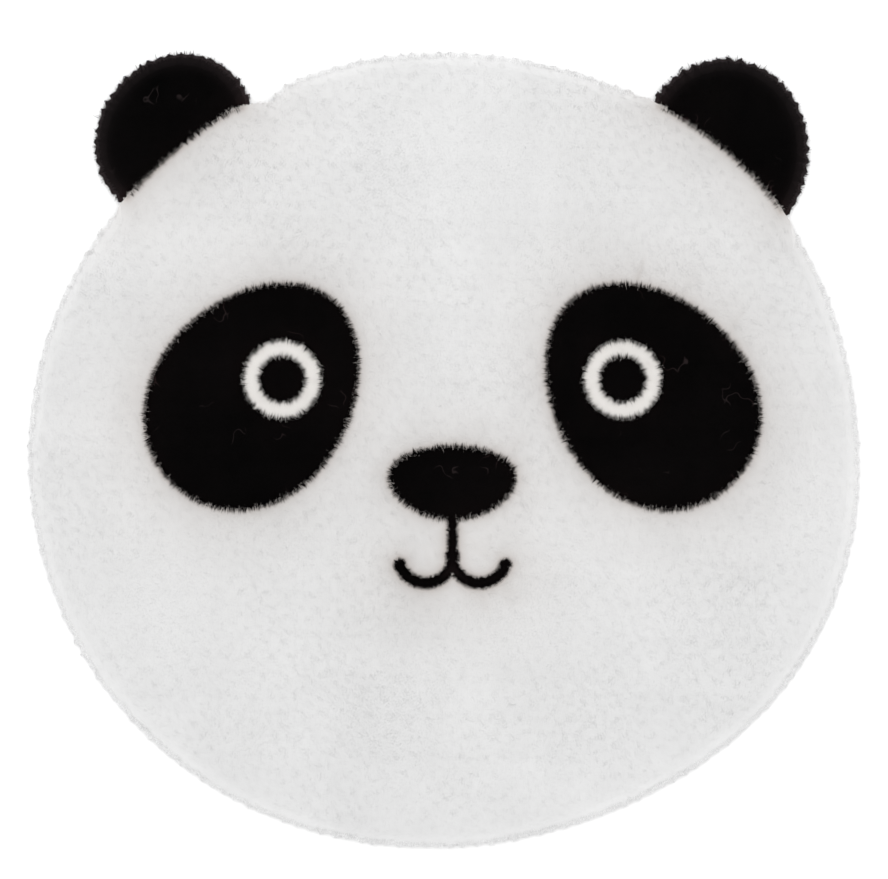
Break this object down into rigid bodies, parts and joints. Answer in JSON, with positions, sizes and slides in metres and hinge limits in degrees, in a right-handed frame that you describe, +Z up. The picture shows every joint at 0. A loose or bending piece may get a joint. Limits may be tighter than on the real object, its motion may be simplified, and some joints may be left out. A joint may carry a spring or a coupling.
{
  "type": "kids rug",
  "caption": "Flat round rug of short dense pile shaped as a panda's head, with ears, eye patches, eyes, nose and mouth pieced in; lies on a floor",
  "frame": {"origin": "on the floor under the middle of the whole rug, ears included", "axes": "+Z up out of the pile, +Y towards the ears, +X to the right as the face is looked at"},
  "size_m": [0.9054, 0.8658, 0.0174],
  "materials": {
    "white_pile": "soft white plush pile, matt",
    "cream_pile": "soft cream plush pile, matt",
    "black_pile": "soft black plush pile, matt with a faint sheen"
  },
  "bodies": {
    "root": {"head_panel": "white_pile", "ear_left": "black_pile", "ear_right": "black_pile", "eye_patch_left": "black_pile", "eye_patch_right": "black_pile", "eye_white_left": "cream_pile", "eye_white_right": "cream_pile", "pupil_left": "black_pile", "pupil_right": "black_pile", "nose": "black_pile", "mouth": "black_pile"}
  },
  "joints": []
}
